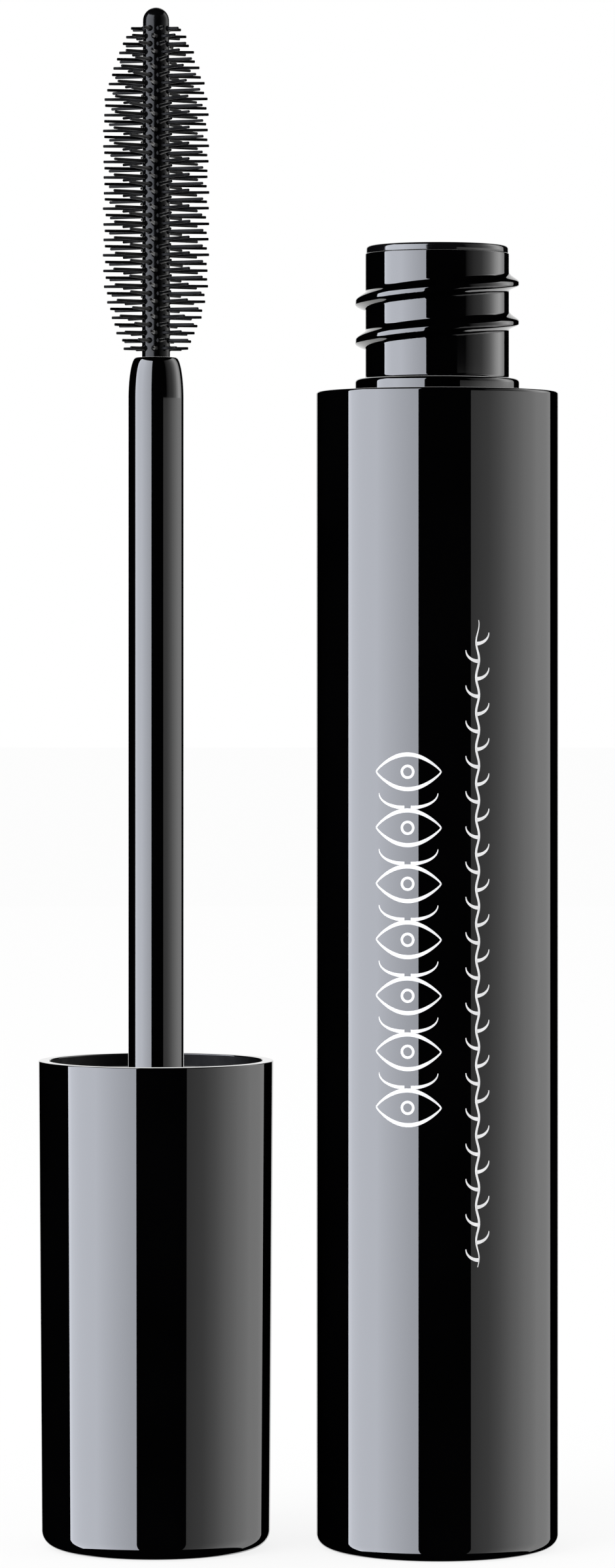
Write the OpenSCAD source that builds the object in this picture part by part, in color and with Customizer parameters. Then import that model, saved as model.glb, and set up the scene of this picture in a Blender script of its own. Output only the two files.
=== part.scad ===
// Mascara tube: a screw-necked bottle, and beside it the applicator standing on the closed end
// of its cap, rod and brush up. The bottle's axis is Z and its foot stands on z = 0.

/* [Bottle sleeve] */
// Outer diameter of the bottle
body_d = 19.0; // [15:0.1:26]
// Height of the shoulder above the table
body_h = 90.3; // [70:0.1:120]
// Wall of the outer sleeve
sleeve_wall = 1.3; // [0.9:0.1:2]
// Floor of the outer sleeve
sleeve_floor = 1.8; // [1.4:0.1:3]
// Rounding of the foot edge
foot_round = 1.0; // [0.3:0.1:1.5]
// Rounding of the shoulder edge
shoulder_round = 0.2; // [0.1:0.05:0.5]

/* [Inner vial] */
// Wall of the vial's body
vial_wall = 1.0; // [0.7:0.1:1.5]
// Floor of the vial
vial_floor = 2.0; // [1:0.1:3]
// Rounding of the vial's inside floor
vial_floor_round = 3.0; // [1:0.1:4]
// Thickness of the shoulder disc that closes the sleeve
shoulder_t = 1.8; // [1.2:0.1:3]
// How far the shoulder disc reaches over the sleeve's ledge
shoulder_lip = 0.6; // [0.3:0.1:0.8]
// How far the collar at the foot of the neck stands out from it
collar_out = 0.8; // [0.5:0.05:1.2]
// Height of the collar
collar_h = 1.0; // [0.6:0.1:1.6]
// Rounding of the collar's top edge
collar_round = 0.3; // [0.1:0.05:0.4]
// Outer diameter of the neck
neck_d = 11.3; // [9.4:0.1:12]
// Height of the neck above the shoulder
neck_h = 10.8; // [10:0.1:14]
// Wall of the neck
neck_wall = 1.2; // [0.9:0.05:1.4]

/* [Screw thread] */
// Height of the thread above the neck
thread_h = 0.775; // [0.6:0.025:0.9]
// Rise of the thread in one turn
thread_pitch = 3.05; // [2.6:0.05:3.7]
// Turns of thread on the neck
thread_turns = 1.875; // [1.25:0.125:2]
// Distance from the neck's rim down to the middle of the ridge at the thread's upper end
thread_rim_drop = 1.93; // [1.2:0.01:2.4]
// Angle of the thread's start about the bottle's axis
thread_start_a = 90; // [0:5:355]
// Turns of thread inside the cap
liner_turns = 1.25; // [1:0.125:1.5]

/* [Wiper] */
// How far the flange that lies on the neck's rim stays inside it
wiper_flange_in = 0.075; // [0:0.025:0.3]
// Thickness of that flange
wiper_flange_t = 0.6; // [0.4:0.1:1]
// Wall of the wiper's tube
wiper_wall = 0.5; // [0.4:0.05:0.8]
// Depth of the wiper's tube below its flange
wiper_depth = 9.0; // [7:0.1:12]
// Length of the cone at the tube's foot that narrows to the lip
wiper_cone_h = 2.6; // [2:0.1:4]
// Length of the straight lip that wipes the rod
wiper_lip_h = 0.5; // [0.3:0.1:1]

/* [Cap] */
// Height of the cap
cap_h = 38.0; // [34:0.1:50]
// How far the cap's mouth stays inside the bottle's side
cap_step = 0.3; // [0:0.05:0.5]
// How far the cap narrows on each side towards its closed end
cap_taper = 0.25; // [0:0.05:0.4]
// Wall of the cap
cap_wall = 0.85; // [0.7:0.05:1.1]
// Thickness of the closed end
cap_end_t = 1.6; // [1.2:0.1:3]
// Rounding of the closed end's edge
cap_end_round = 1.3; // [0.4:0.1:1.5]
// Rounding of the mouth's rim
cap_rim_round = 0.12; // [0.05:0.01:0.2]
// Gap between the cap's mouth and the bottle's shoulder when closed
mouth_gap = 0.3; // [0.2:0.1:0.8]

/* [Cap liner] */
// Wall of the threaded skirt outside the thread
liner_wall = 0.95; // [0.7:0.05:1]
// How far the liner's mouth lies inside the cap's mouth
liner_recess = 1.0; // [0.8:0.1:1.1]
// Height of the flange at the liner's mouth
liner_flange_h = 1.2; // [0.8:0.1:2]
// Thickness of the web that carries the rod
liner_web_t = 1.6; // [1.2:0.1:2.4]
// Wall of the socket around the rod's root
socket_wall = 1.5; // [1:0.1:2]
// Depth of the socket below the web's top
socket_depth = 11.5; // [8:0.1:14]
// Thickness of the socket's floor
socket_floor = 1.2; // [0.8:0.1:2]
// Number of ribs between the socket and the cap
rib_count = 8; // [4:1:12]
// Thickness of a rib
rib_t = 0.8; // [0.6:0.1:1.2]

/* [Seal washer] */
// Thickness of the seal washer
washer_t = 1.0; // [0.6:0.1:1.5]
// Radial room between the washer and the cap liner
washer_room = 0.5; // [0.3:0.1:1]

/* [Rod] */
// Diameter of the rod
stem_d = 4.35; // [3.6:0.05:5.25]
// Room between the brush's tip and the vial's inside floor when the tube is closed
tip_room = 4.35; // [1:0.05:8]
// Length of the rounded end of the rod
stem_nose_h = 3.2; // [2:0.1:4]
// How far the rounding narrows the rod's end on each side
stem_nose_in = 0.6; // [0.3:0.05:0.7]
// Thickness of the flange by which the rod seats on the liner's web
stem_flange_t = 0.7; // [0.4:0.1:0.8]
// How far that flange stands out from the rod
stem_flange_out = 1.0; // [0.6:0.1:1.1]

/* [Brush] */
// Diameter of the brush's core where it leaves the rod
core_root_d = 2.2; // [1.8:0.05:2.6]
// Diameter of the brush's core at its rounded tip
core_tip_d = 2.05; // [1.6:0.05:2.4]
// Length of the shank that is pressed into the rod
shank_h = 8.0; // [5:0.1:12]
// Number of bristle rings
ring_count = 42; // [20:1:50]
// Distance from one ring to the next
ring_pitch = 0.61; // [0.55:0.01:0.8]
// Distance from the rod's end to the first ring
ring_start = 0.7; // [0.5:0.05:2]
// Length of the core past the last ring
core_nose_h = 1.7; // [1.3:0.1:3]
// Bristles in each ring
ring_bristles = 8; // [6:1:16]
// Turn of the whole brush about its own axis
brush_turn = -5; // [-20:1:20]
// Diameter of the brush over its longest bristles
brush_d = 8.4; // [6:0.1:9]
// Diameter over the ring nearest the rod
brush_root_d = 5.1; // [4:0.1:6]
// Length over which the rings grow from the rod's end
brush_root_grow = 6.2; // [3:0.1:10]
// Diameter over the ring nearest the tip
brush_tip_d = 4.1; // [3:0.1:6]
// Length over which the rings shrink towards the tip
brush_tip_grow = 7.3; // [3:0.1:12]
// Diameter of a bristle at its root
bristle_root_d = 0.28; // [0.2:0.01:0.36]
// Diameter of a bristle at its tip
bristle_tip_d = 0.22; // [0.1:0.01:0.24]

/* [Base label] */
// Diameter of the blank label under the foot
label_d = 13.0; // [8:0.1:14]
// Thickness of the label
label_t = 0.1; // [0.05:0.05:0.3]
// Depth of the recess that holds it
label_recess = 0.3; // [0.2:0.05:0.6]
// Radial room around the label in its recess
label_room = 0.3; // [0.1:0.05:0.6]

/* [Fits and layout] */
// Radial room between parts that are pushed together
fit_gap = 0.05; // [0.02:0.01:0.1]
// Radial room around the rod in the wiper's lip
wipe_gap = 0.06; // [0.04:0.01:0.15]
// Radial room between the neck's thread and the cap liner
thread_gap = 0.2; // [0.15:0.05:0.4]
// Room on each side of the seal washer along the axis
seal_gap = 0.05; // [0.03:0.01:0.1]
// Gap between the bottle and the cap standing beside it
side_gap = 3.3; // [2:0.1:20]

/* [Hidden] */
$fn = 96;
gloss_black = [0.05, 0.05, 0.06];
soft_black = [0.12, 0.12, 0.13];

// Bottle, from the axis outwards and the table up
body_r = body_d / 2;
ledge_r = body_r - sleeve_wall;
seat_r = ledge_r + shoulder_lip;
seat_z = body_h - shoulder_t;
vial_z = sleeve_floor + fit_gap;
vial_r = ledge_r - fit_gap;
vial_bore_r = vial_r - vial_wall;
neck_r = neck_d / 2;
neck_bore_r = neck_r - neck_wall;
collar_r = neck_r + collar_out;
neck_z = body_h + neck_h;
seal_z = neck_z + wiper_flange_t;
label_hole_r = label_d / 2 + label_room;

// Thread profile: a flat load flank below, a sloped flank above, between them a narrow crest.
// The ridge's foot is sunk into the wall by ridge_sink and is wider there by ridge_spread.
crest_w = 0.25;
flank_below = 0.42;
flank_above = 0.66;
ridge_sink = 0.35;
ridge_spread = 1.25;
runout_a = 40;
blunt_end = 0.2;
ridge_step_a = 7.5;
thread_z = neck_z - thread_rim_drop - thread_pitch * (thread_turns + thread_start_a / 360);

// Wiper
wiper_tube_r = neck_bore_r - fit_gap;
wiper_bore_r = wiper_tube_r - wiper_wall;
stem_r = stem_d / 2;
lip_r = stem_r + wipe_gap;
wiper_foot_z = neck_z - wiper_depth;
wiper_edge = 0.25;

// Applicator, standing on the closed end of its cap
mouth_r = body_r - cap_step;
end_r = mouth_r - cap_taper;
axis_x = -(body_r + side_gap + mouth_r);
closed_h = body_h + mouth_gap + cap_h;
washer_z = closed_h - seal_z - seal_gap - washer_t;
web_z = washer_z - seal_gap;
liner_top = cap_h - liner_recess;
liner_bore_r = neck_r + thread_h + thread_gap;
skirt_r = liner_bore_r + liner_wall;
liner_crest_r = neck_r + thread_gap;
socket_z = web_z - socket_depth;
socket_bore_r = stem_r + fit_gap;
socket_r = socket_bore_r + socket_wall;
stem_flange_r = stem_r + stem_flange_out;
core_r = core_root_d / 2;
core_tip_r = core_tip_d / 2;
core_top = closed_h - vial_z - vial_floor - tip_room;
last_ring_z = core_top - core_nose_h;
ring_z = last_ring_z - (ring_count - 1) * ring_pitch;
stem_top = ring_z - ring_start;
bristle_sink = 0.1;
bristle_sides = 16;

// The cap's ridge lies ridge_drop below the neck's ridge when the cap is screwed home, and ends
// ridge_room below the chamfer at the liner's mouth, at a whole multiple of liner_step_a
flank_room = 0.5;
ridge_drop = flank_below + crest_w + flank_room;
liner_lead = 0.4;
ridge_room = 0.9;
liner_ridge_top = liner_top - liner_lead - ridge_room;
liner_z = closed_h - thread_z + ridge_drop;
liner_step_a = 15;
liner_ridge_a = 360 * (liner_ridge_top - liner_z) / thread_pitch;
liner_end_a = liner_step_a * floor(liner_ridge_a / liner_step_a);
liner_start_a = liner_end_a - 360 * liner_turns;

function arc(c, r, a0, a1, n = 10) =
    [for (i = [0:n]) let (a = a0 + (a1 - a0) * i / n) c + r * [cos(a), sin(a)]];

function cap_r(z) = end_r + (mouth_r - end_r) * z / cap_h;
function cap_bore_r(z) = cap_r(z) - cap_wall;

// Share of its full height that a screw ridge has, growing from a blunt end over runout_a
function ridge_share(a, a0, a1) =
    blunt_end + (1 - blunt_end) * min(1, min(a - a0, a1 - a) / runout_a);

// Outer reach of the bristles in the ring at height z
function grown(d, span) = d >= span ? 1 : 1 - pow(1 - d / span, 2);
function ring_r(z) = min(
    brush_root_d / 2 + (brush_d - brush_root_d) / 2 * grown(z - ring_z, brush_root_grow),
    brush_tip_d / 2 + (brush_d - brush_tip_d) / 2 * grown(last_ring_z - z, brush_tip_grow));
function core_r_at(z) = core_r + (core_tip_r - core_r) * (z - stem_top) / (core_top - stem_top);

// Right-hand screw ridge from radius root to radius crest, low and high being the axial
// lengths of the flanks below and above the crest
module ridge(z0, a0, a1, root, crest, low, high) {
    out = crest > root ? 1 : -1;
    steps = ceil((a1 - a0) / ridge_step_a);
    w = [low + crest_w / 2, crest_w / 2, -crest_w / 2, -high - crest_w / 2];
    rings = [for (i = [0:steps])
        let (a = a0 + (a1 - a0) * i / steps,
             s = ridge_share(a, a0, a1),
             z = z0 + thread_pitch * a / 360,
             tip = root + (crest - root) * s,
             foot = root - out * ridge_sink)
        for (p = [[foot, -w[0] * ridge_spread], [tip, -w[1]],
                  [tip, -w[2]], [foot, -w[3] * ridge_spread]])
            [p[0] * cos(a), p[0] * sin(a), z + p[1]]];
    side = [for (i = [0:steps - 1], k = [0:3])
        let (p = 4 * i + k, q = 4 * i + (k + 1) % 4)
        out > 0 ? [p, q, q + 4, p + 4] : [p + 4, q + 4, q, p]];
    first = out > 0 ? [3, 2, 1, 0] : [0, 1, 2, 3];
    last = [for (k = out > 0 ? [0:3] : [3:-1:0]) 4 * steps + k];
    polyhedron(points = rings, faces = concat([first], side, [last]), convexity = 6);
}

module applicator_place() {
    translate([axis_x, 0, 0]) children();
}

module bottle_sleeve() {
    color(gloss_black) rotate_extrude()
        polygon(concat(
            [[0, label_recess], [label_hole_r, label_recess], [label_hole_r, 0]],
            arc([body_r - foot_round, foot_round], foot_round, -90, 0),
            arc([body_r - shoulder_round, body_h - shoulder_round], shoulder_round, 0, 90, 4),
            [[seat_r, body_h], [seat_r, seat_z], [ledge_r, seat_z],
             [ledge_r, sleeve_floor], [0, sleeve_floor]]));
}

module inner_vial() {
    disc_r = seat_r - fit_gap;
    inner_round = min(vial_floor_round, vial_bore_r / 2);
    inner_z = vial_z + vial_floor;
    color(gloss_black) union() {
        rotate_extrude()
            polygon(concat(
                [[0, vial_z], [vial_r, vial_z], [vial_r, seat_z], [disc_r, seat_z],
                 [disc_r, body_h], [collar_r, body_h]],
                arc([collar_r - collar_round, body_h + collar_h - collar_round],
                    collar_round, 0, 90, 4),
                [[neck_r, body_h + collar_h], [neck_r, neck_z], [neck_bore_r, neck_z],
                 [neck_bore_r, seat_z], [vial_bore_r, seat_z - (vial_bore_r - neck_bore_r)]],
                arc([vial_bore_r - inner_round, inner_z + inner_round], inner_round, 0, -90),
                [[0, inner_z]]));
        ridge(thread_z, thread_start_a, thread_start_a + 360 * thread_turns,
              neck_r, neck_r + thread_h, flank_below, flank_above);
    }
}

module wiper() {
    flange_r = neck_r - wiper_flange_in;
    lip_z = wiper_foot_z + wiper_lip_h;
    cone_z = lip_z + wiper_cone_h;
    color(soft_black) rotate_extrude()
        polygon(concat(
            [[lip_r, wiper_foot_z], [lip_r + wiper_wall, wiper_foot_z],
             [lip_r + wiper_wall, lip_z], [wiper_tube_r, cone_z], [wiper_tube_r, neck_z],
             [flange_r, neck_z]],
            arc([flange_r - wiper_edge, seal_z - wiper_edge], wiper_edge, 0, 90, 5),
            [[wiper_bore_r + wiper_edge, seal_z], [wiper_bore_r, seal_z - wiper_edge],
             [wiper_bore_r, cone_z], [lip_r, lip_z]]));
}

module base_label() {
    color("dimgray") translate([0, 0, label_recess - label_t]) cylinder(d = label_d, h = label_t);
}

module cap_shell() {
    color(gloss_black) applicator_place() rotate_extrude()
        polygon(concat(
            [[0, 0]],
            arc([cap_r(cap_end_round) - cap_end_round, cap_end_round], cap_end_round, -90, 0),
            arc([mouth_r - cap_rim_round, cap_h - cap_rim_round], cap_rim_round, 0, 90, 4),
            arc([cap_bore_r(cap_h) + cap_rim_round, cap_h - cap_rim_round],
                cap_rim_round, 90, 180, 4),
            [[cap_bore_r(cap_end_t), cap_end_t], [0, cap_end_t]]));
}

module cap_liner() {
    flange_z = liner_top - liner_flange_h;
    flange_r = cap_bore_r(flange_z) - fit_gap;
    foot_z = socket_z - socket_floor;
    rib_r = cap_bore_r(foot_z) - fit_gap;
    rib_top = web_z - liner_web_t / 2;
    color(soft_black) applicator_place() union() {
        rotate_extrude()
            polygon([[0, foot_z], [socket_r, foot_z], [socket_r, web_z - liner_web_t],
                     [skirt_r, web_z - liner_web_t], [skirt_r, flange_z], [flange_r, flange_z],
                     [flange_r, liner_top], [liner_bore_r + liner_lead, liner_top],
                     [liner_bore_r, liner_top - liner_lead], [liner_bore_r, web_z],
                     [socket_bore_r, web_z], [socket_bore_r, socket_z], [0, socket_z]]);
        ridge(liner_z, liner_start_a, liner_end_a, liner_bore_r, liner_crest_r,
              flank_above, flank_below);
        for (i = [0:rib_count - 1])
            rotate([0, 0, 360 * i / rib_count])
                translate([socket_r - socket_wall / 2, -rib_t / 2, foot_z])
                    cube([rib_r - socket_r + socket_wall / 2, rib_t, rib_top - foot_z]);
    }
}

module seal_washer() {
    color("gainsboro") applicator_place() translate([0, 0, washer_z]) difference() {
        cylinder(r = liner_bore_r - washer_room, h = washer_t);
        translate([0, 0, -1]) cylinder(r = stem_flange_r + washer_room / 2, h = washer_t + 2);
    }
}

module stem() {
    shank_hole_r = core_r + fit_gap / 2;
    nose_z = stem_top - stem_nose_h;
    nose = [for (i = [0:12]) let (u = i / 12)
        [stem_r - stem_nose_in * (1 - sqrt(1 - u * u)), nose_z + stem_nose_h * u]];
    color(gloss_black) applicator_place() rotate_extrude()
        polygon(concat(
            [[0, socket_z + fit_gap], [stem_r, socket_z + fit_gap], [stem_r, web_z],
             [stem_flange_r, web_z], [stem_flange_r, web_z + stem_flange_t],
             [stem_r, web_z + stem_flange_t]],
            nose,
            [[shank_hole_r, stem_top], [shank_hole_r, stem_top - shank_h - fit_gap],
             [0, stem_top - shank_h - fit_gap]]));
}

module brush_core() {
    color(soft_black) applicator_place() rotate_extrude()
        polygon(concat(
            [[0, stem_top - shank_h], [core_r, stem_top - shank_h], [core_r, stem_top]],
            arc([0, core_top - core_tip_r], core_tip_r, 0, 90)));
}

module brush_bristles() {
    color(soft_black) applicator_place()
        for (k = [0:ring_count - 1])
            let (z = ring_z + k * ring_pitch, root = core_r_at(z) - bristle_sink)
            for (i = [0:ring_bristles - 1])
                translate([0, 0, z])
                    rotate([0, 0, brush_turn + 360 * (i + (k % 2) / 2) / ring_bristles])
                        translate([root, 0, 0])
                            rotate([0, 90, 0])
                                cylinder(d1 = bristle_root_d, d2 = bristle_tip_d,
                                         h = ring_r(z) - root, $fn = bristle_sides);
}

bottle_sleeve();
inner_vial();
wiper();
base_label();
cap_shell();
cap_liner();
seal_washer();
stem();
brush_core();
brush_bristles();
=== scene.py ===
"""Looks of the mascara tube: the open bottle and, beside it, the applicator on its cap's end.

Everything is in metres in the CAD frame. The main sizes come from the frame's own boxes, and
the values below are the fine details, such as walls, roundings and the printed ornament.
"""
import math
import random

import bmesh
import bpy
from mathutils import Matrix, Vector

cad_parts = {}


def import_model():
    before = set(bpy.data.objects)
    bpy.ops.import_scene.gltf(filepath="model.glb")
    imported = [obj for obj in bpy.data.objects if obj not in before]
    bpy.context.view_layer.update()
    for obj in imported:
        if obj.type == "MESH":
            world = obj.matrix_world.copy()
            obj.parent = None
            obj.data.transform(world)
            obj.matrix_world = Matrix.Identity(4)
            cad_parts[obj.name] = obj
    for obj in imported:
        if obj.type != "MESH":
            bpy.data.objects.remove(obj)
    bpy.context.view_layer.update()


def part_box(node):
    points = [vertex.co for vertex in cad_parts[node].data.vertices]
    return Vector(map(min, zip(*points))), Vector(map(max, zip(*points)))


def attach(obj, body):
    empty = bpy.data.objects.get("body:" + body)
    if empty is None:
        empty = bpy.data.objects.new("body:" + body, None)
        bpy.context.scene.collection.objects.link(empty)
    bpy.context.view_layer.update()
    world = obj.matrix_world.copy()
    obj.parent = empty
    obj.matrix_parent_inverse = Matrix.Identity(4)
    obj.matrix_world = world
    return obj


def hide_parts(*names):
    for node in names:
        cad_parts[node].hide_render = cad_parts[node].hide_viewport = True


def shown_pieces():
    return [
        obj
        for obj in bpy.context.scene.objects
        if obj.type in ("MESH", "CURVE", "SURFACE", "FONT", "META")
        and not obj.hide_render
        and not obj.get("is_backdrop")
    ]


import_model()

MM = 0.001

# Fineness of the meshes: pieces of a full turn, steps of a rounding, the angle from which an
# edge is shaded sharp, how far a support point stands from the end of a straight stretch, and
# from which length a stretch is long enough for such points
SEGMENTS = 240
ROUND_STEPS = 6
SHARP_ANGLE = math.radians(32)
SUPPORT = 0.06 * MM
LONG_RUN = 6 * SUPPORT

# A radius below NEARLY_ZERO counts as none, and a point within ON_WALL of a wall lies on it
NEARLY_ZERO = 1e-9
ON_WALL = 1e-7


# ---- Sizes -----------------------------------------------------------------------------------

def half_width(node):
    """Half of a round node's width, its outer radius."""
    low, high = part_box(node)
    return (high.x - low.x) / 2


def axis_of(node):
    """The x at which a node's own axis stands."""
    low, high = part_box(node)
    return (high.x + low.x) / 2


def low_z(node):
    """Height of a node's lowest point."""
    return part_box(node)[0].z


def high_z(node):
    """Height of a node's highest point."""
    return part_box(node)[1].z


# Bottle
BODY_R = half_width("bottle_sleeve")
BODY_H = high_z("bottle_sleeve")
SLEEVE_WALL = 1.3 * MM
SLEEVE_FLOOR = 1.8 * MM
FOOT_ROUND = 1.0 * MM
SHOULDER_ROUND = 0.2 * MM
LEDGE_R = BODY_R - SLEEVE_WALL
SEAT_R = LEDGE_R + 0.6 * MM
LABEL_T = 0.1 * MM
LABEL_ROOM = 0.3 * MM
DISC_R = half_width("inner_vial")
DISC_T = 1.8 * MM
FIT = 0.05 * MM
SEAT_Z = BODY_H - DISC_T
VIAL_FOOT = low_z("inner_vial")
VIAL_R = LEDGE_R - FIT
VIAL_WALL = 1.0 * MM
VIAL_BORE_R = VIAL_R - VIAL_WALL
VIAL_FLOOR = 2.0 * MM
VIAL_FLOOR_ROUND = 3.0 * MM

# Neck, thread and wiper
WIPER_FLANGE_R = half_width("wiper")
WIPER_FLANGE_IN = 0.075 * MM
NECK_R = WIPER_FLANGE_R + WIPER_FLANGE_IN
NECK_TOP = high_z("inner_vial")
NECK_WALL = 1.2 * MM
NECK_BORE_R = NECK_R - NECK_WALL
NECK_FILLET = 0.2 * MM
RIM_ROUND = 0.06 * MM
COLLAR_R = NECK_R + 0.8 * MM
COLLAR_H = 1.0 * MM
THREAD_H = 0.775 * MM
THREAD_PITCH = 3.05 * MM
THREAD_START = math.radians(90)
THREAD_TURNS = 1.875
THREAD_FOOT = BODY_H + 3.15 * MM
CREST_W = 0.22 * MM
FLANK_BELOW = 0.5 * MM
FLANK_ABOVE = 0.78 * MM
RUN_OUT = math.radians(42)
THREAD_ROW = 0.05 * MM
LINER_ROW = 1.5 * THREAD_ROW
WIPER_WALL = 0.5 * MM
WIPER_TUBE_R = NECK_BORE_R - FIT
WIPER_BORE_R = WIPER_TUBE_R - WIPER_WALL
WIPER_TOP = high_z("wiper")
WIPER_FOOT = low_z("wiper")
WIPER_LIP_R = 2.235 * MM
WIPER_LIP_H = 0.5 * MM
WIPER_CONE_H = 2.6 * MM

# Cap, its liner and the washer
CAP_X = axis_of("cap_shell")
CAP_R = half_width("cap_shell")
CAP_H = high_z("cap_shell")
CAP_TAPER = 0.25 * MM
CAP_WALL = 0.85 * MM
CAP_END_T = 1.6 * MM
CAP_END_ROUND = 1.3 * MM
CAP_RIM_ROUND = 0.08 * MM
LINER_TOP = high_z("cap_liner")
LINER_FOOT = low_z("cap_liner")
THREAD_ROOM = 0.2 * MM
LINER_BORE_R = NECK_R + THREAD_H + THREAD_ROOM
LINER_WALL = 0.95 * MM
LINER_FLANGE_H = 1.2 * MM
LINER_WEB_T = 1.6 * MM
LINER_LEAD = 0.4 * MM
LINER_START = math.radians(105)
LINER_TURNS = 1.25
LINER_THREAD_TOP = LINER_TOP - 1.3 * MM
LINER_THREAD_FOOT = LINER_THREAD_TOP - THREAD_PITCH * LINER_TURNS
SOCKET_WALL = 1.5 * MM
RIBS = 8
RIB_T = 0.8 * MM
WASHER_HOLE_R = 3.425 * MM

# Rod and brush
ROD_FLANGE_OUT = 1.0 * MM
ROD_R = half_width("stem") - ROD_FLANGE_OUT
ROD_TOP = high_z("stem")
ROD_NOSE_H = 3.2 * MM
ROD_NOSE_IN = 0.6 * MM
ROD_FLANGE_T = 0.7 * MM
WEB_Z = low_z("seal_washer") - FIT
CORE_R = half_width("brush_core")
CORE_TIP_R = 1.025 * MM
CORE_TOP = high_z("brush_core")
RINGS = 42
RING_PITCH = 0.61 * MM
RING_BRISTLES = 8
BRUSH_TURN = math.radians(-5)
CORE_NOSE_H = 1.7 * MM
LAST_RING = CORE_TOP - CORE_NOSE_H
FIRST_RING = LAST_RING - (RINGS - 1) * RING_PITCH
BRUSH_R = half_width("brush_bristles")
BRUSH_ROOT_R = 2.55 * MM
BRUSH_TIP_R = 2.05 * MM
ROOT_GROW = 6.2 * MM
TIP_GROW = 7.3 * MM

# A bristle: its sides, its depth in the core, its radii, the rounding of its end, the places
# (distance along it, radius) of the fillet at its root, and how far its direction in radians,
# its tip's height and its length wander
BRISTLE_SIDES = 10
BRISTLE_SINK = 0.06 * MM
BRISTLE_ROOT_R = 0.14 * MM
BRISTLE_TIP_R = 0.11 * MM
BRISTLE_EDGE = 0.05 * MM
BRISTLE_FILLET = ((0, 0.3 * MM), (0.1 * MM, 0.2 * MM))
BRISTLE_FILLET_H = 0.22 * MM
BRISTLE_LEAN = 0.008
BRISTLE_DROOP = 0.015 * MM
BRISTLE_UNEVEN = 0.035
BRUSH_SEED = 11


# ---- Mesh tools ------------------------------------------------------------------------------

def finish_mesh(mesh, name, body, material, nodes=(), inside=None, is_inside=None):
    """Turns a bmesh into a smooth-shaded piece that rides on a body and stands for CAD nodes.
    Faces whose centre is_inside(centre) take the material inside."""
    bmesh.ops.recalc_face_normals(mesh, faces=mesh.faces)
    if inside:
        for face in mesh.faces:
            face.material_index = int(is_inside(face.calc_center_median()))
    data = bpy.data.meshes.new(name)
    mesh.to_mesh(data)
    mesh.free()
    data.polygons.foreach_set("use_smooth", [True] * len(data.polygons))
    data.set_sharp_from_angle(angle=SHARP_ANGLE)
    data.materials.append(material)
    if inside:
        data.materials.append(inside)
    piece = bpy.data.objects.new(name, data)
    bpy.context.scene.collection.objects.link(piece)
    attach(piece, body)
    if nodes:
        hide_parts(*nodes)


def outline(corners, steps=ROUND_STEPS):
    """Points of an outline given as (radius, height, rounding) corners; a rounding is an arc."""
    points = []
    for i, (r, z, rounding) in enumerate(corners):
        corner = Vector((r, z))
        if not rounding:
            points.append(corner)
            continue
        to_last = (Vector(corners[i - 1][:2]) - corner).normalized()
        to_next = (Vector(corners[(i + 1) % len(corners)][:2]) - corner).normalized()
        half = to_last.angle(to_next) / 2
        centre = corner + (to_last + to_next).normalized() * (rounding / math.sin(half))
        start = corner + to_last * (rounding / math.tan(half)) - centre
        end = corner + to_next * (rounding / math.tan(half)) - centre
        turn = math.atan2(start.cross(end), start.dot(end))
        for k in range(steps + 1):
            a = turn * k / steps
            ca = math.cos(a)
            sa = math.sin(a)
            points.append(centre + Vector((start.x * ca - start.y * sa,
                                           start.x * sa + start.y * ca)))
    return points


def column(r, z0, z1, step):
    """Points straight up or down a wall, close enough together to carry a relief."""
    count = max(1, round(abs(z1 - z0) / step))
    return [Vector((r, z0 + (z1 - z0) * k / count)) for k in range(count + 1)]


def supported(points, closed):
    """Adds a point near each end of a long straight stretch, which keeps the smooth shading of
    the rounding beside it from spreading along the stretch."""
    result = []
    last = len(points) - 1
    for i, here in enumerate(points):
        result.append(here)
        if i == last and not closed:
            break
        after = points[(i + 1) % len(points)]
        run = after - here
        if run.length > LONG_RUN:
            result.append(here + run.normalized() * SUPPORT)
            result.append(after - run.normalized() * SUPPORT)
    return result


def lathe(mesh, points, x=0.0, relief=None, segments=SEGMENTS):
    """Turns an outline about the vertical axis at x. An outline that starts and ends on the
    axis is left open there, and any other one is closed into a ring. relief(angle, r, z) is
    added to a point's radius."""
    rings = []
    for r, z in supported(points, closed=points[0].x > NEARLY_ZERO):
        if r < NEARLY_ZERO:
            rings.append([mesh.verts.new((x, 0, z))])
            continue
        ring = []
        for j in range(segments):
            a = 2 * math.pi * j / segments
            reach = r + (relief(a, r, z) if relief else 0)
            ring.append(mesh.verts.new((x + reach * math.cos(a), reach * math.sin(a), z)))
        rings.append(ring)
    pairs = list(zip(rings, rings[1:]))
    if len(rings[0]) > 1:
        pairs.append((rings[-1], rings[0]))
    for low, high in pairs:
        for j in range(segments):
            k = (j + 1) % segments
            if len(low) == 1:
                mesh.faces.new((low[0], high[k], high[j]))
            elif len(high) == 1:
                mesh.faces.new((low[j], low[k], high[0]))
            else:
                mesh.faces.new((low[j], low[k], high[k], high[j]))
    return mesh


def smooth_step(t):
    """Rises smoothly from 0 to 1 as t does, and stays at those values beyond."""
    t = min(1.0, max(0.0, t))
    return t * t * (3 - 2 * t)


def screw_relief(z, angle, start, turns, foot, below, above):
    """Share of a right-hand screw ridge's height at a place on its wall. foot is the height of
    the ridge's middle at its start."""
    best = 0.0
    for turn in range(-1, math.ceil(turns) + 1):
        along = angle - start + 2 * math.pi * turn
        if not 0 <= along <= 2 * math.pi * turns:
            continue
        away = z - foot - THREAD_PITCH * along / (2 * math.pi)
        flank = above if away > 0 else below
        side = smooth_step(1 - (abs(away) - CREST_W / 2) / flank)
        ends = min(along, 2 * math.pi * turns - along) / RUN_OUT
        best = max(best, side * smooth_step(ends))
    return best


# ---- Materials -------------------------------------------------------------------------------

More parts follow.
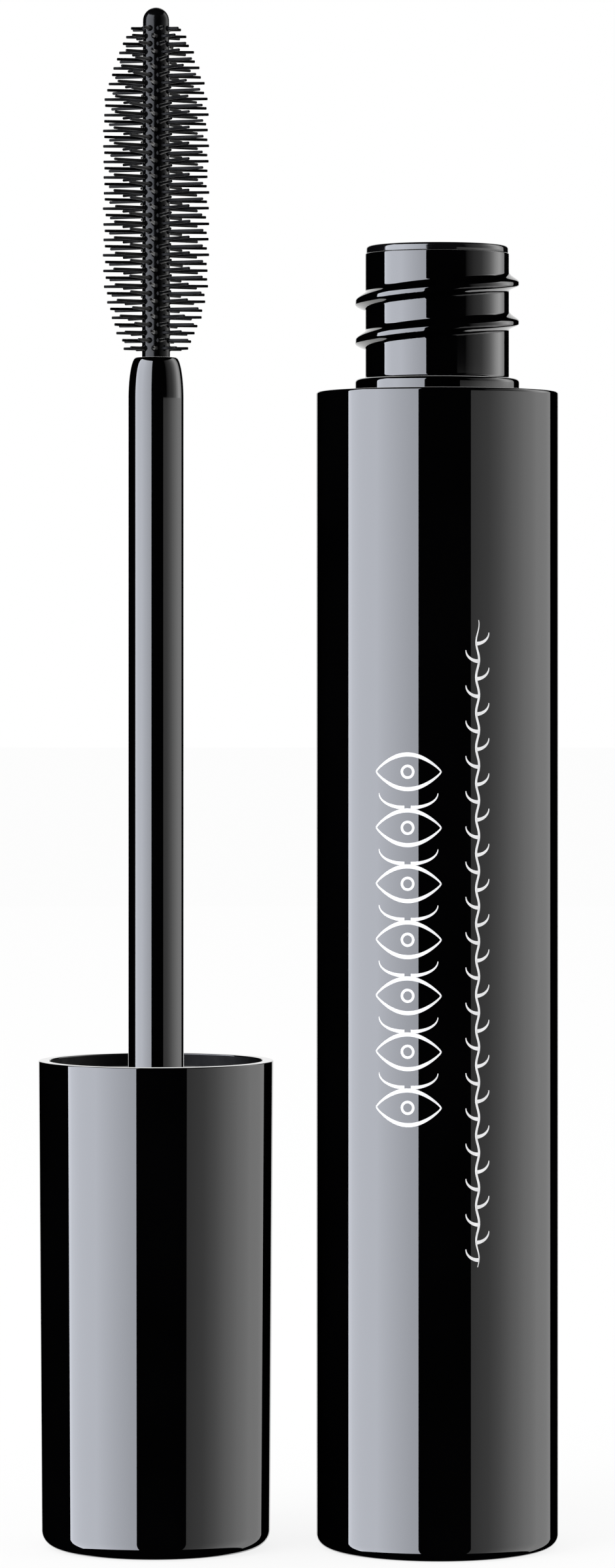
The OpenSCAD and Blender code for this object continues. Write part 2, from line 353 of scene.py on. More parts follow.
class Shader:
    """A Principled material with short helpers for its procedural nodes."""

    def __init__(self, name, colour, roughness, **inputs):
        self.material = bpy.data.materials.new(name)
        self.material.use_nodes = True
        self.tree = self.material.node_tree
        self.bsdf = self.tree.nodes["Principled BSDF"]
        self.bsdf.inputs["Base Color"].default_value = (*colour, 1)
        self.bsdf.inputs["Roughness"].default_value = roughness
        for socket, value in inputs.items():
            self.bsdf.inputs[socket.replace("_", " ")].default_value = value
        self.place = self.node("ShaderNodeTexCoord").outputs["Object"]

    def node(self, kind, **settings):
        """A new node with its settings."""
        made = self.tree.nodes.new(kind)
        for name, value in settings.items():
            setattr(made, name, value)
        return made

    def link(self, source, target):
        """Joins an output to an input."""
        self.tree.links.new(source, target)

    def stretched(self, scale):
        """Object coordinates scaled apart on each axis."""
        mapping = self.node("ShaderNodeMapping")
        mapping.inputs["Scale"].default_value = scale
        self.link(self.place, mapping.inputs["Vector"])
        return mapping.outputs["Vector"]

    def noise(self, scale, detail=3.0, stretch=(1, 1, 1)):
        """Cloudy noise, drawn out along an axis that stretch gives less than 1."""
        made = self.node("ShaderNodeTexNoise")
        made.inputs["Scale"].default_value = scale
        made.inputs["Detail"].default_value = detail
        self.link(self.stretched(stretch), made.inputs["Vector"])
        return made.outputs["Fac"]

    def cells(self, scale):
        """Distance to the nearest of many scattered points, which gives round cells."""
        made = self.node("ShaderNodeTexVoronoi", feature="F1")
        made.inputs["Scale"].default_value = scale
        self.link(self.place, made.inputs["Vector"])
        return made.outputs["Distance"]

    def spread(self, value, low, high, start=0.3, end=0.7):
        """Maps a value from start..end to low..high."""
        made = self.node("ShaderNodeMapRange")
        made.inputs["From Min"].default_value = start
        made.inputs["From Max"].default_value = end
        made.inputs["To Min"].default_value = low
        made.inputs["To Max"].default_value = high
        self.link(value, made.inputs["Value"])
        return made.outputs["Result"]

    def tint(self, value, first, second):
        """Base colour that wanders between two colours."""
        made = self.node("ShaderNodeMix", data_type="RGBA")
        made.inputs["A"].default_value = (*first, 1)
        made.inputs["B"].default_value = (*second, 1)
        self.link(self.spread(value, 0, 1), made.inputs["Factor"])
        self.link(made.outputs["Result"], self.bsdf.inputs["Base Color"])

    def rough(self, value, low, high):
        """Roughness that wanders between two values."""
        self.link(self.spread(value, low, high), self.bsdf.inputs["Roughness"])

    def bump(self, value, height):
        """Adds a relief of the given height in metres over any relief added before."""
        made = self.node("ShaderNodeBump")
        made.inputs["Distance"].default_value = height
        made.inputs["Strength"].default_value = 1.0
        self.link(value, made.inputs["Height"])
        last = self.bsdf.inputs["Normal"].links
        if last:
            self.link(last[0].from_socket, made.inputs["Normal"])
        self.link(made.outputs["Normal"], self.bsdf.inputs["Normal"])


def gloss_black(name, rough_low, rough_high):
    """Polished black moulded plastic: a mirror with faint moulding waves and fine wipe marks."""
    s = Shader(name, (0.0006, 0.0006, 0.0008), rough_low, IOR=1.5)
    s.tint(s.noise(90), (0.0004, 0.0004, 0.0005), (0.0009, 0.0009, 0.0011))
    s.rough(s.noise(500, 5, (1, 1, 0.12)), rough_low, rough_high)
    s.bump(s.noise(60, 1, (1, 1, 0.25)), 0.001 * MM)
    return s.material


def satin_black(name, colour, rough_low, rough_high, specular):
    """Moulded polymer with a fine matt grain that scatters the light a little."""
    s = Shader(name, colour, rough_low, IOR=1.5, Specular_IOR_Level=specular)
    lighter = tuple(c * 1.7 + 0.001 for c in colour)
    s.tint(s.noise(260), colour, lighter)
    s.rough(s.noise(900, 4), rough_low, rough_high)
    s.bump(s.noise(1800, 4), 0.002 * MM)
    return s.material


def cap_bore_painted_shade():
    """Black plastic inside the cap, rough as it comes off an unpolished core; its reflection is
    turned nearly off, which paints the shade inside the cap.
    """
    # The specular level of 0.04 is painted shade: it keeps the inside of the cap dark instead of
    # mirroring the panels.
    s = Shader("cap_bore_painted_shade", (0.0006, 0.0006, 0.0007), 0.5, IOR=1.5,
               Specular_IOR_Level=0.04)
    s.tint(s.noise(300), (0.0005, 0.0005, 0.0006), (0.0012, 0.0012, 0.0014))
    s.rough(s.noise(1200, 4), 0.45, 0.6)
    s.bump(s.noise(2600, 3, (1, 1, 0.1)), 0.003 * MM)
    return s.material


def brush_elastomer(name, rough_low, rough_high, specular):
    """Black thermoplastic elastomer of the moulded brush: deep black with a weak soft gloss."""
    s = Shader(name, (0.001, 0.001, 0.0012), rough_low, IOR=1.5, Specular_IOR_Level=specular)
    s.tint(s.noise(700), (0.0006, 0.0006, 0.0008), (0.002, 0.002, 0.0024))
    s.rough(s.noise(1500, 3), rough_low, rough_high)
    s.bump(s.noise(5200, 3), 0.003 * MM)
    return s.material


def foam():
    """Pale closed-cell foam of the washer."""
    s = Shader("washer_foam", (0.62, 0.61, 0.58), 0.85, IOR=1.45)
    s.tint(s.noise(900), (0.5, 0.49, 0.46), (0.72, 0.71, 0.68))
    s.bump(s.cells(5200), 0.04 * MM)
    s.bump(s.noise(2600, 4), 0.02 * MM)
    s.rough(s.noise(1800), 0.75, 0.95)
    return s.material


def label_film():
    """Dark satin film label with a faint fibre."""
    s = Shader("label_film", (0.018, 0.018, 0.02), 0.38, IOR=1.48)
    s.tint(s.noise(700, 4, (1, 6, 1)), (0.012, 0.012, 0.013), (0.03, 0.03, 0.033))
    s.rough(s.noise(2200, 4), 0.3, 0.48)
    s.bump(s.noise(3000, 3, (1, 8, 1)), 0.004 * MM)
    return s.material


def ink():
    """White screen-print ink: nearly even, with a very fine mesh grain."""
    s = Shader("print_ink", (0.84, 0.84, 0.85), 0.4, IOR=1.5)
    s.tint(s.noise(1500, 3), (0.76, 0.76, 0.77), (0.9, 0.9, 0.91))
    s.rough(s.noise(2600, 3), 0.34, 0.5)
    s.bump(s.cells(9000), 0.002 * MM)
    return s.material


# ---- Bottle ----------------------------------------------------------------------------------

def sleeve():
    """Outer cup, with the label's recess under its foot and the step that the vial sits in."""
    recess = low_z("base_label") + LABEL_T
    recess_r = half_width("base_label") + LABEL_ROOM
    points = outline([
        (0, recess, 0), (recess_r, recess, 0.06 * MM), (recess_r, 0, 0.12 * MM),
        (BODY_R, 0, FOOT_ROUND), (BODY_R, BODY_H, SHOULDER_ROUND),
        (SEAT_R, BODY_H, 0.08 * MM), (SEAT_R, SEAT_Z, 0), (LEDGE_R, SEAT_Z, 0),
        (LEDGE_R, SLEEVE_FLOOR, 0), (0, SLEEVE_FLOOR, 0)], steps=8)
    finish_mesh(lathe(bmesh.new(), points), "sleeve_shell", "bottle",
                gloss_black("sleeve_gloss", 0.012, 0.035), ["bottle_sleeve"])


def vial():
    """Container with its shoulder disc, collar, neck and screw thread."""
    collar_top = BODY_H + COLLAR_H
    floor_z = VIAL_FOOT + VIAL_FLOOR
    throat = SEAT_Z - (VIAL_BORE_R - NECK_BORE_R)

    # The end corners that are cut off each list only give the direction there
    outside = outline([
        (0, VIAL_FOOT, 0), (VIAL_R, VIAL_FOOT, 0.5 * MM), (VIAL_R, SEAT_Z, 0),
        (DISC_R, SEAT_Z, 0), (DISC_R, BODY_H, 0.08 * MM), (COLLAR_R, BODY_H, 0.1 * MM),
        (COLLAR_R, collar_top, 0.3 * MM), (NECK_R, collar_top, 0)])[:-1]
    foot_fillet = outline([
        (COLLAR_R, collar_top, 0), (NECK_R, collar_top, NECK_FILLET),
        (NECK_R, NECK_TOP, 0)])[1:-1]
    wall = column(NECK_R, collar_top + NECK_FILLET, NECK_TOP - 0.1 * MM, THREAD_ROW)[1:]
    inside = outline([
        (NECK_R, NECK_TOP - MM, 0), (NECK_R, NECK_TOP, RIM_ROUND),
        (NECK_BORE_R, NECK_TOP, 0.15 * MM), (NECK_BORE_R, SEAT_Z, 0),
        (VIAL_BORE_R, throat, 0.6 * MM), (VIAL_BORE_R, floor_z, VIAL_FLOOR_ROUND),
        (0, floor_z, 0)])[1:]

    def thread(angle, r, z):
        if abs(r - NECK_R) > ON_WALL:
            return 0.0
        return THREAD_H * screw_relief(z, angle, THREAD_START, THREAD_TURNS, THREAD_FOOT,
                                       FLANK_BELOW, FLANK_ABOVE)

    mesh = lathe(bmesh.new(), outside + foot_fillet + wall + inside, relief=thread)
    finish_mesh(mesh, "vial_neck", "bottle",
                gloss_black("vial_gloss", 0.02, 0.05), ["inner_vial"])


def wiper():
    """Soft insert in the neck: flange, tube, cone and the lip that wipes the rod."""
    edge = 0.25 * MM
    lip_out = WIPER_LIP_R + WIPER_WALL
    lip_z = WIPER_FOOT + WIPER_LIP_H
    cone_z = lip_z + WIPER_CONE_H
    points = outline([
        (WIPER_LIP_R, WIPER_FOOT, 0.1 * MM), (lip_out, WIPER_FOOT, 0.1 * MM),
        (lip_out, lip_z, 0.3 * MM), (WIPER_TUBE_R, cone_z, 0.5 * MM),
        (WIPER_TUBE_R, NECK_TOP, 0), (WIPER_FLANGE_R, NECK_TOP, 0.08 * MM),
        (WIPER_FLANGE_R, WIPER_TOP, edge), (WIPER_BORE_R, WIPER_TOP, edge),
        (WIPER_BORE_R, cone_z, 0.5 * MM), (WIPER_LIP_R, lip_z, 0.3 * MM)])
    finish_mesh(lathe(bmesh.new(), points), "wiper_insert", "bottle",
                satin_black("wiper_satin", (0.0025, 0.0025, 0.003), 0.06, 0.1, 0.55),
                ["wiper"])


def base_film():
    """Blank round label under the foot."""
    low = low_z("base_label")
    high = high_z("base_label")
    r = half_width("base_label")
    points = outline([(0, low, 0), (r, low, 0.03 * MM), (r, high, 0.03 * MM), (0, high, 0)])
    finish_mesh(lathe(bmesh.new(), points), "base_film", "bottle",
                label_film(), ["base_label"])


# ---- Printed ornament ------------------------------------------------------------------------

# Thickness of the ink, how far it reaches into the wall, and the length of a step along a line
INK_T = 0.012 * MM
INK_SINK = 0.004 * MM
INK_STEP = 0.12 * MM

# Shares of a line's width: at an almond's ends, and at a lash's root with its loss to the tip
ALMOND_END = 0.35
LASH_ROOT = 1.02
LASH_LOSS = 0.82

# Fullness of an almond's arc, and the arc's length for an almond of width 1
ARC_POWER = 0.8
ARC_LENGTH = 1.3


def wrapped(across, up, r):
    """A point of the unrolled front of the bottle, laid on the cylinder of radius r. across is
    measured along the surface, to the right of the line that faces the camera."""
    a = across / BODY_R
    return Vector((r * math.sin(a), -r * math.cos(a), up))


def stroke(mesh, path, width, closed=False):
    """A printed line along a path of (across, up) points. width(t) is its width at t = 0..1."""
    count = len(path)
    rows = []
    for i in range(count):
        here = Vector(path[i])
        last = Vector(path[i - 1] if closed or i else path[i])
        after = Vector(path[(i + 1) % count] if closed or i < count - 1 else path[i])
        run = (after - last).normalized()
        side = Vector((-run.y, run.x)) * (width(i / (count - 1)) / 2)
        rows.append([mesh.verts.new(wrapped(*(here + side * s), r))
                     for s, r in ((-1, BODY_R - INK_SINK), (1, BODY_R - INK_SINK),
                                  (1, BODY_R + INK_T), (-1, BODY_R + INK_T))])
    pairs = list(zip(rows, rows[1:]))
    if closed:
        pairs.append((rows[-1], rows[0]))
    for one, two in pairs:
        for k in range(4):
            n = (k + 1) % 4
            mesh.faces.new((one[k], one[n], two[n], two[k]))
    if not closed:
        mesh.faces.new(rows[0])
        mesh.faces.new(rows[-1][::-1])


def curve(shape, length):
    """Points of shape(t), t = 0..1, about INK_STEP apart for a curve of that length."""
    count = max(4, math.ceil(length / INK_STEP))
    return [shape(k / count) for k in range(count + 1)]


def almond(mesh, across, up, wide, high, line):
    """Two facing arcs that meet in points, each drawn as a line that swells in its middle."""
    def swell(t):
        return line * (ALMOND_END + (1 - ALMOND_END) * math.sin(math.pi * t))

    for way in (-1, 1):
        path = curve(lambda t: (across + wide * (t - 0.5),
                                up + way * high / 2 * math.sin(math.pi * t) ** ARC_POWER),
                     wide * ARC_LENGTH)
        stroke(mesh, path, swell)


def ring(mesh, across, up, size, line):
    """A round line of an even width."""
    count = max(16, math.ceil(math.pi * size / INK_STEP))
    turn = 2 * math.pi / count
    path = [(across + size / 2 * math.cos(turn * k), up + size / 2 * math.sin(turn * k))
            for k in range(count)]
    stroke(mesh, path, lambda t: line, closed=True)


def lash(mesh, across, up, way, reach, rise, line):
    """A curved, tapering stroke that sweeps out and up like an eyelash."""
    path = curve(lambda t: (across + way * reach * math.sin(math.pi / 2 * t),
                            up + rise * (1 - math.cos(math.pi / 2 * t))), reach + rise)
    stroke(mesh, path, lambda t: line * (LASH_ROOT - LASH_LOSS * t))


def almond_row(mesh):
    """Broad motif: a column of almonds, with a pair of lashes in each gap."""
    across = -2.5 * MM
    low = 32.8 * MM
    high = 62.9 * MM
    wide = 5.2 * MM
    count = 7
    pitch = (high - low) / count
    tall = pitch * 0.62
    line = 0.32 * MM
    ring_size = 0.9 * MM
    ring_line = 0.2 * MM
    lash_out = 0.25 * MM
    lash_up = pitch * 0.36
    for i in range(count):
        up = low + pitch * (i + 0.5)
        almond(mesh, across, up, wide, tall, line)
        ring(mesh, across, up, ring_size, ring_line)
        if i < count - 1:
            for way in (-1, 1):
                lash(mesh, across + way * lash_out, up + lash_up, way, 2.1 * MM, 1.1 * MM,
                     0.3 * MM)


def sprig(mesh):
    """Fine motif: a long stem that sways a little, with lashes on its two sides in turn."""
    across = 2.95 * MM
    low = 22.7 * MM
    high = 72.4 * MM
    leaves = 36
    pitch = (high - low - MM) / leaves
    swing = 0.12 * MM
    line = 0.17 * MM

    def sway(up):
        return across + swing * math.sin(math.pi * (up - low) / pitch)

    def thin_ends(t):
        return line * min(1, 0.3 + 12 * min(t, 1 - t))

    stem_line = curve(lambda t: (sway(low + (high - low) * t), low + (high - low) * t),
                      high - low)
    stroke(mesh, stem_line, thin_ends)
    for i in range(leaves):
        up = low + pitch * (i + 0.4)
        way = 1 if i % 2 else -1
        lash(mesh, sway(up), up, way, 1.05 * MM, 0.85 * MM, 0.3 * MM)


def ornament():
    """Generic white motifs in place of the printed names."""
    mesh = bmesh.new()
    almond_row(mesh)
    sprig(mesh)
    finish_mesh(mesh, "printed_ornament", "bottle", ink())


# ---- Cap -------------------------------------------------------------------------------------

def cap_radius(z):
    """Outer radius of the tapered cap at height z."""
    return CAP_R - CAP_TAPER * (1 - z / CAP_H)


def cap_body():
    """Tapered cap, polished outside and unpolished inside, where the nearly lost reflection is
    painted shade.
    """
    bore_top = cap_radius(CAP_H) - CAP_WALL
    bore_foot = cap_radius(CAP_END_T) - CAP_WALL
    points = outline([
        (0, 0, 0), (cap_radius(0), 0, CAP_END_ROUND), (CAP_R, CAP_H, CAP_RIM_ROUND),
        (bore_top, CAP_H, CAP_RIM_ROUND), (bore_foot, CAP_END_T, 0.3 * MM),
        (0, CAP_END_T, 0)], steps=10)

    def is_bore(centre):
        r = math.hypot(centre.x - CAP_X, centre.y)
        return centre.z > CAP_END_T / 2 and r < bore_top and centre.z < CAP_H - CAP_RIM_ROUND

    finish_mesh(lathe(bmesh.new(), points, CAP_X), "cap_body", "applicator",
                gloss_black("cap_gloss", 0.012, 0.035), ["cap_shell"],
                cap_bore_painted_shade(), is_bore)


def rib(mesh, angle, inner, outer, low, high):
    """One upright rib between the socket and the cap, with its own four sides."""
    ca = math.cos(angle)
    sa = math.sin(angle)
    corners = []
    for z in (low, high):
        for r, side in ((inner, -1), (outer, -1), (outer, 1), (inner, 1)):
            t = side * RIB_T / 2
            corners.append(mesh.verts.new((CAP_X + r * ca - t * sa, r * sa + t * ca, z)))
    faces = [(0, 3, 2, 1), (4, 5, 6, 7), (0, 1, 5, 4), (1, 2, 6, 5), (2, 3, 7, 6), (3, 0, 4, 7)]
    for face in faces:
        mesh.faces.new([corners[k] for k in face])


def cap_insert():
    """Liner of the cap: threaded skirt, web, the rod's socket and the ribs round it."""
    web_foot = WEB_Z - LINER_WEB_T
    socket_z = low_z("stem") - FIT
    socket_bore = ROD_R + FIT
    socket_r = socket_bore + SOCKET_WALL
    skirt_r = LINER_BORE_R + LINER_WALL
    flange_z = LINER_TOP - LINER_FLANGE_H
    flange_r = half_width("cap_liner")
    bore_top = LINER_TOP - LINER_LEAD
    outside = outline([
        (0, LINER_FOOT, 0), (socket_r, LINER_FOOT, 0.3 * MM),
        (socket_r, web_foot, 0.3 * MM), (skirt_r, web_foot, 0.3 * MM),
        (skirt_r, flange_z, 0), (flange_r, flange_z, 0.1 * MM), (flange_r, LINER_TOP, 0.12 * MM),
        (LINER_BORE_R + LINER_LEAD, LINER_TOP, 0.08 * MM), (LINER_BORE_R, bore_top, 0)])[:-1]
    bore = column(LINER_BORE_R, bore_top, WEB_Z + 0.5 * MM, LINER_ROW)
    inside = outline([
        (LINER_BORE_R, bore_top, 0), (LINER_BORE_R, WEB_Z, 0.25 * MM),
        (socket_bore, WEB_Z, 0.1 * MM), (socket_bore, socket_z, 0), (0, socket_z, 0)])[1:]

    def thread(angle, r, z):
        if abs(r - LINER_BORE_R) > ON_WALL:
            return 0.0
        return -THREAD_H * screw_relief(z, angle, LINER_START, LINER_TURNS, LINER_THREAD_FOOT,
                                        FLANK_ABOVE, FLANK_BELOW)

    mesh = lathe(bmesh.new(), outside + bore + inside, CAP_X, thread)
    rib_r = cap_radius(LINER_FOOT) - CAP_WALL - FIT
    for i in range(RIBS):
        rib(mesh, 2 * math.pi * i / RIBS, socket_r - 0.5 * MM, rib_r, LINER_FOOT,
            WEB_Z - LINER_WEB_T / 2)
    finish_mesh(mesh, "cap_insert", "applicator",
                satin_black("liner_satin", (0.0015, 0.0015, 0.0017), 0.35, 0.5, 0.06),
                ["cap_liner"])


def washer():
    """Foam ring that lies loose on the liner's web."""
    low = low_z("seal_washer")
    high = high_z("seal_washer")
    r = half_width("seal_washer")
    edge = 0.1 * MM
    points = outline([
        (WASHER_HOLE_R, low, edge), (r, low, edge), (r, high, edge),
        (WASHER_HOLE_R, high, edge)])
    finish_mesh(lathe(bmesh.new(), points, CAP_X), "foam_washer", "washer",
                foam(), ["seal_washer"])


# ---- Rod and brush ---------------------------------------------------------------------------

def rod():
    """Polished rod with its seat flange, its rounded end and the hole for the brush."""
    nose_steps = 24
    nose_z = ROD_TOP - ROD_NOSE_H
    flange_r = half_width("stem")
    flange_top = WEB_Z + ROD_FLANGE_T
    foot = low_z("stem")
    hole_r = CORE_R + FIT / 2
    hole_z = low_z("brush_core") - FIT
    body = outline([
        (0, foot, 0), (ROD_R, foot, 0.2 * MM), (ROD_R, WEB_Z, 0), (flange_r, WEB_Z, 0),
        (flange_r, flange_top, 0.15 * MM), (ROD_R, flange_top, 0.2 * MM),
        (ROD_R, nose_z, 0)])
    nose = []
    for i in range(1, nose_steps + 1):
        u = math.sin(math.pi / 2 * i / nose_steps)
        r = ROD_R - ROD_NOSE_IN * (1 - math.sqrt(max(0, 1 - u * u)))
        nose.append(Vector((r, nose_z + ROD_NOSE_H * u)))
    hole = [Vector((hole_r, ROD_TOP)), Vector((hole_r, hole_z)), Vector((0, hole_z))]
    finish_mesh(lathe(bmesh.new(), body + nose + hole, CAP_X), "rod", "applicator",
                gloss_black("rod_gloss", 0.03, 0.06), ["stem"])


def spine_radius(z):
    """Radius of the brush's core, which narrows a little from the rod to the tip."""
    share = (z - ROD_TOP) / (CORE_TOP - ROD_TOP)
    return CORE_R + (CORE_TIP_R - CORE_R) * share


def brush_spine():
    """Core of the brush with its shank and its round tip."""
    low = low_z("brush_core")
    tip_z = CORE_TOP - CORE_TIP_R
    tip_steps = 14
    points = outline([(0, low, 0), (CORE_R, low, 0.2 * MM), (CORE_R, ROD_TOP, 0)])
    points += column(CORE_R, ROD_TOP, tip_z, 0.4 * MM)[1:-1]
    points = [Vector((spine_radius(p.y) if p.y > ROD_TOP else p.x, p.y)) for p in points]
    for i in range(tip_steps + 1):
        a = math.pi / 2 * i / tip_steps
        points.append(Vector((CORE_TIP_R * math.cos(a) if i < tip_steps else 0,
                              tip_z + CORE_TIP_R * math.sin(a))))
    finish_mesh(lathe(bmesh.new(), points, CAP_X, segments=96), "brush_spine", "applicator",
                brush_elastomer("spine_elastomer", 0.13, 0.2, 0.13),
                ["brush_core"])


def grown(distance, span):
    """Share of full length that the bristles have at a distance from an end of the brush."""
    return 1 if distance >= span else 1 - (1 - distance / span) ** 2


def reach(z):
    """How far the bristles of the ring at height z reach from the axis."""
    from_rod = BRUSH_ROOT_R + (BRUSH_R - BRUSH_ROOT_R) * grown(z - FIRST_RING, ROOT_GROW)
    from_tip = BRUSH_TIP_R + (BRUSH_R - BRUSH_TIP_R) * grown(LAST_RING - z, TIP_GROW)
    return min(from_rod, from_tip)


def bristle(mesh, rng, angle, z):
    """One tapered spike with a small fillet at its root, a round tip and a slight lean."""
    start = spine_radius(z) - BRISTLE_SINK
    end = reach(z) * (1 - BRISTLE_UNEVEN * rng.random() ** 2)
    lean = rng.uniform(-BRISTLE_LEAN, BRISTLE_LEAN)
    droop = rng.uniform(-BRISTLE_DROOP, BRISTLE_DROOP)
    out = Vector((math.cos(angle + lean), math.sin(angle + lean), 0))
    side = Vector((-out.y, out.x, 0))
    up = Vector((0, 0, 1))
    length = end - start
    stations = [*BRISTLE_FILLET, (BRISTLE_FILLET_H, BRISTLE_ROOT_R)]
    for share in (0.4, 0.7):
        stations.append((length * share,
                         BRISTLE_ROOT_R + (BRISTLE_TIP_R - BRISTLE_ROOT_R) * share))
    for k in range(4):
        a = math.pi / 2 * k / 3
        stations.append((length - BRISTLE_EDGE * (1 - math.sin(a)),
                         BRISTLE_TIP_R - BRISTLE_EDGE * (1 - math.cos(a))))
    rows = []
    for along, r in stations:
        middle = out * (start + along) + up * (z + droop * (along / length) ** 2)
        middle.x += CAP_X
        rows.append([mesh.verts.new(middle + (side * math.cos(b) + up * math.sin(b)) * r)
                     for b in (2 * math.pi * j / BRISTLE_SIDES for j in range(BRISTLE_SIDES))])
    for low, high in zip(rows, rows[1:]):
        for j in range(BRISTLE_SIDES):
            k = (j + 1) % BRISTLE_SIDES
            mesh.faces.new((low[j], low[k], high[k], high[j]))
    tip = mesh.verts.new(out * end + up * (z + droop) + Vector((CAP_X, 0, 0)))
    for j in range(BRISTLE_SIDES):
        mesh.faces.new((rows[-1][j], rows[-1][(j + 1) % BRISTLE_SIDES], tip))
    mesh.faces.new(rows[0][::-1])


def brush_comb():
    """All bristles, in rings of which every second one is turned by half a step."""
    mesh = bmesh.new()
    rng = random.Random(BRUSH_SEED)
    for ring_no in range(RINGS):
        z = FIRST_RING + ring_no * RING_PITCH
        for i in range(RING_BRISTLES):
            angle = BRUSH_TURN + 2 * math.pi * (i + (ring_no % 2) / 2) / RING_BRISTLES
            bristle(mesh, rng, angle, z)
    finish_mesh(mesh, "brush_comb", "applicator",
                brush_elastomer("bristle_elastomer", 0.3, 0.45, 0.05), ["brush_bristles"])


# ---- Studio ----------------------------------------------------------------------------------

# Light panels: distance from the origin, lowest and highest point, steps in a panel's curve,
# and the height from which the neck and the brush mirror them
PANEL_FAR = 1.2
PANEL_LOW = -1.0
PANEL_HIGH = 1.2
PANEL_STEPS = 48
NECK_LINE = 0.1445

# Half of the floor's width, the world's strength on matt surfaces, and the key light
FLOOR_HALF = 4.0
SOFT_WHITE = 0.8
KEY_PLACE = (-0.7, -0.7, 0.9)
KEY_AIM = Vector((0, 0, 0.05))
KEY_ENERGY = 6

# Camera: its place straight in front of the object, its lens and the shift of the picture
CAMERA_PLACE = (-0.01015, -0.476, 0.0699)
CAMERA_LENS = 139.6
CAMERA_SHIFT = -0.0838


def emission_material(name, stops, strength, tint):
    """Tinted light that changes along a panel: stops are (place, grey) pairs."""
    material = bpy.data.materials.new(name)
    material.use_nodes = True
    tree = material.node_tree
    tree.nodes.clear()
    place = tree.nodes.new("ShaderNodeAttribute")
    place.attribute_name = "across"
    ramp = tree.nodes.new("ShaderNodeValToRGB")
    elements = ramp.color_ramp.elements
    elements[0].position = stops[0][0]
    elements[1].position = stops[-1][0]
    for at, _ in stops[1:-1]:
        elements.new(at)
    for element, (_, grey) in zip(elements, stops):
        element.color = (grey * tint[0], grey * tint[1], grey * tint[2], 1)
    light = tree.nodes.new("ShaderNodeEmission")
    light.inputs["Strength"].default_value = strength
    out = tree.nodes.new("ShaderNodeOutputMaterial")
    tree.links.new(place.outputs["Fac"], ramp.inputs["Fac"])
    tree.links.new(ramp.outputs["Color"], light.inputs["Color"])
    tree.links.new(light.outputs["Emission"], out.inputs["Surface"])
    return material


def panel(name, start, end, stops, strength, tint=(1, 1, 1), low=PANEL_LOW, high=PANEL_HIGH):
    """A tall curved light panel round the object, from start to end degrees and from low to
    high. Degrees count from the side of the camera, positive to its right."""
    mesh = bmesh.new()
    across = mesh.verts.layers.float.new("across")
    rows = []
    for i in range(PANEL_STEPS + 1):
        share = i / PANEL_STEPS
        a = math.radians(start + (end - start) * share)
        row = [mesh.verts.new((PANEL_FAR * math.sin(a), -PANEL_FAR * math.cos(a), z))
               for z in (low, high)]
        for vert in row:
            vert[across] = share
        rows.append(row)
    for one, two in zip(rows, rows[1:]):
        mesh.faces.new((one[0], one[1], two[1], two[0]))
    data = bpy.data.meshes.new(name)
    mesh.to_mesh(data)
    mesh.free()
    data.materials.append(emission_material(name, stops, strength, tint))
    made = bpy.data.objects.new(name, data)
    made.visible_camera = False
    made.visible_diffuse = False
    bpy.context.scene.collection.objects.link(made)
    made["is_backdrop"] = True


def keep_out_of_reflections():
    """The photograph's bottle and applicator do not mirror each other, so no piece shows in
    another one's reflections."""
    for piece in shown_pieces():
        piece.visible_glossy = False


def panels():
    """The left panel is one tall sheet. The right one changes above NECK_LINE, the height that
    the neck and the brush mirror: there it starts further round and ends brighter."""
    left = [(0, 0.72), (0.08, 0.74), (0.25, 0.83), (0.55, 0.99), (0.8, 0.93), (0.94, 0.93),
            (0.97, 1.0)]
    right = [(0, 0.28), (0.17, 0.38), (0.29, 0.56), (0.42, 0.81), (0.57, 0.98), (0.74, 0.96),
             (0.9, 0.68), (1, 0.58)]
    panel("left_panel", -18.8, -94.0, left, 11.4, (0.935, 0.972, 1.07))
    above = [(0, 0.0), (0.04, 0.045), (0.18, 0.135), (0.33, 0.2), (0.5, 0.46), (0.69, 0.95),
             (0.8, 1.0), (0.94, 0.5), (1, 0.4)]
    panel("right_panel", 30.6, 134.0, right, 2.55, high=NECK_LINE)
    panel("upper_right_panel", 44.0, 134.0, above, 3.6, low=NECK_LINE)
    panel("back_panel", 162.0, 198.0, [(0, 1.0), (1, 1.0)], 1.25)


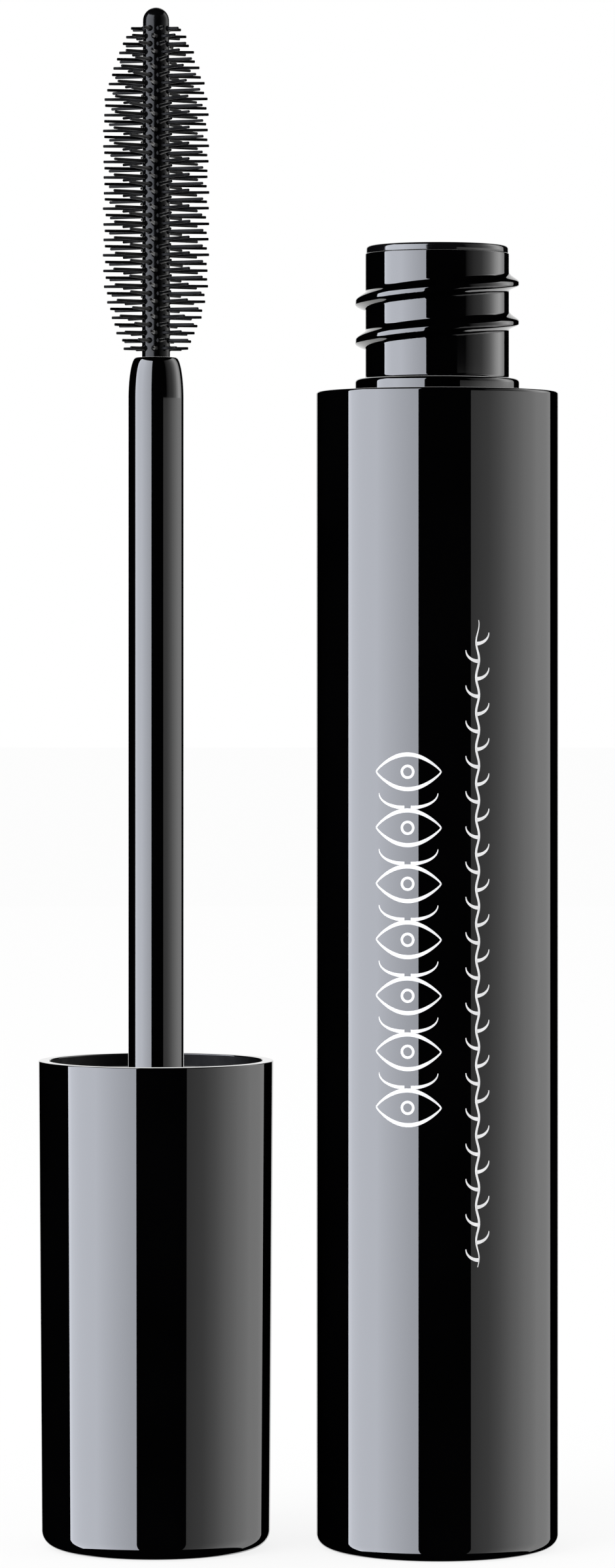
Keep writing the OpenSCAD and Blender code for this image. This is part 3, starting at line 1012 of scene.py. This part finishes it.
def floor():
    """A plain pale floor, lit mostly by itself, so that only a faint contact shadow shows."""
    mesh = bmesh.new()
    corners = [(-1, -1), (1, -1), (1, 1), (-1, 1)]
    mesh.faces.new([mesh.verts.new((x * FLOOR_HALF, y * FLOOR_HALF, 0)) for x, y in corners])
    data = bpy.data.meshes.new("studio_floor")
    mesh.to_mesh(data)
    mesh.free()
    material = bpy.data.materials.new("studio_floor")
    material.use_nodes = True
    shader = material.node_tree.nodes["Principled BSDF"]
    shader.inputs["Base Color"].default_value = (0.16, 0.16, 0.16, 1)
    shader.inputs["Roughness"].default_value = 1.0
    shader.inputs["Specular IOR Level"].default_value = 0.0
    shader.inputs["Emission Color"].default_value = (1, 1, 1, 1)
    shader.inputs["Emission Strength"].default_value = 0.85
    data.materials.append(material)
    made = bpy.data.objects.new("studio_floor", data)
    made.visible_glossy = False
    bpy.context.scene.collection.objects.link(made)
    made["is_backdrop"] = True


def world():
    """White behind the object, soft white on matt surfaces and nothing in the reflections,
    which show only the panels."""
    made = bpy.data.worlds.new("studio")
    bpy.context.scene.world = made
    made.use_nodes = True
    tree = made.node_tree
    back = tree.nodes["Background"]
    path = tree.nodes.new("ShaderNodeLightPath")
    soft = tree.nodes.new("ShaderNodeMath")
    soft.operation = "MULTIPLY"
    soft.inputs[1].default_value = SOFT_WHITE
    total = tree.nodes.new("ShaderNodeMath")
    total.operation = "ADD"
    back.inputs["Color"].default_value = (1, 1, 1, 1)
    tree.links.new(path.outputs["Is Diffuse Ray"], soft.inputs[0])
    tree.links.new(path.outputs["Is Camera Ray"], total.inputs[0])
    tree.links.new(soft.outputs["Value"], total.inputs[1])
    tree.links.new(total.outputs["Value"], back.inputs["Strength"])


def key_light():
    """A large soft light from the upper left that shapes the matt surfaces only."""
    light = bpy.data.lights.new("key_light", "AREA")
    light.shape = "RECTANGLE"
    light.size = 0.6
    light.size_y = 0.9
    light.energy = KEY_ENERGY
    made = bpy.data.objects.new("key_light", light)
    made.location = KEY_PLACE
    made.rotation_euler = (KEY_AIM - made.location).to_track_quat("-Z", "Y").to_euler()
    made.visible_glossy = False
    bpy.context.scene.collection.objects.link(made)


def camera():
    """Level camera straight in front, at the photograph's distance and height."""
    data = bpy.data.cameras.new("camera")
    data.sensor_width = 36
    data.lens = CAMERA_LENS
    data.shift_y = CAMERA_SHIFT
    data.clip_start = 0.01
    data.clip_end = 20
    made = bpy.data.objects.new("camera", data)
    made.location = CAMERA_PLACE
    made.rotation_euler = (math.radians(90), 0, 0)
    bpy.context.scene.collection.objects.link(made)
    bpy.context.scene.camera = made


# ---- The scene -------------------------------------------------------------------------------

camera()
panels()
floor()
world()
key_light()
bpy.context.scene.view_settings.view_transform = "Standard"

sleeve()
vial()
wiper()
base_film()
ornament()
cap_body()
cap_insert()
washer()
rod()
brush_spine()
brush_comb()
keep_out_of_reflections()
